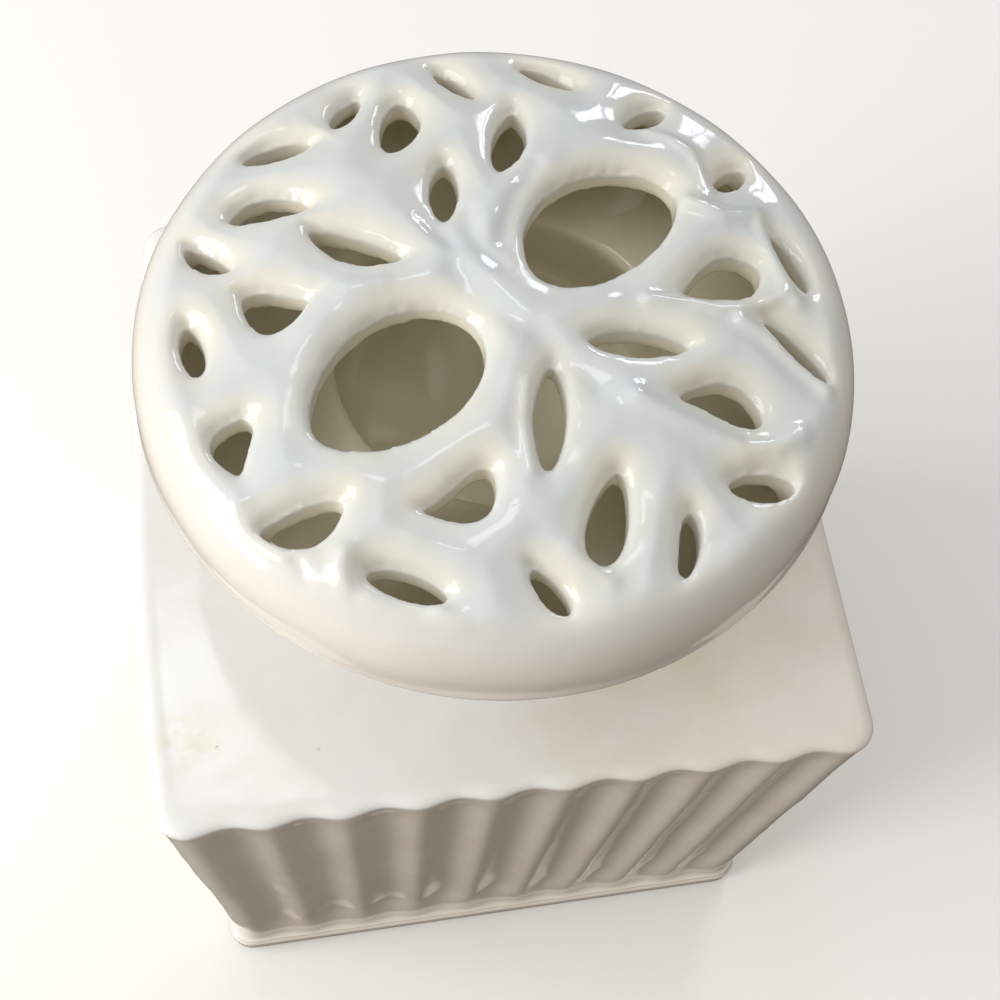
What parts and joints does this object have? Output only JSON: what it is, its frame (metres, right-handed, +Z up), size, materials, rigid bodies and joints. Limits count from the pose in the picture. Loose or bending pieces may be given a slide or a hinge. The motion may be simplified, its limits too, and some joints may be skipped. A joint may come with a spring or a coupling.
{
  "type": "lidded ceramic canister",
  "caption": "Square glazed canister with a fluted front, a round neck and a wide domed lid pierced with leaf-shaped openings.",
  "frame": {"origin": "centre of the flat base, on the surface that the canister stands on", "axes": "+Z up, -Y towards the fluted front face, +X to the right as seen from the front"},
  "size_m": [0.1145, 0.111, 0.1667],
  "materials": {
    "jar_glaze": "thick cream-white gloss glaze over earthenware",
    "lid_glaze": "thick white gloss glaze over earthenware, creamier in the cut edges"
  },
  "bodies": {
    "jar": {"jar": "jar_glaze"},
    "lid": {"pierced_lid": "lid_glaze"}
  },
  "joints": [
    {"name": "lid_lift", "type": "slide", "parent": "jar", "child": "lid", "axis": [0, 0, 1], "range_m": [0, 0.08]}
  ]
}
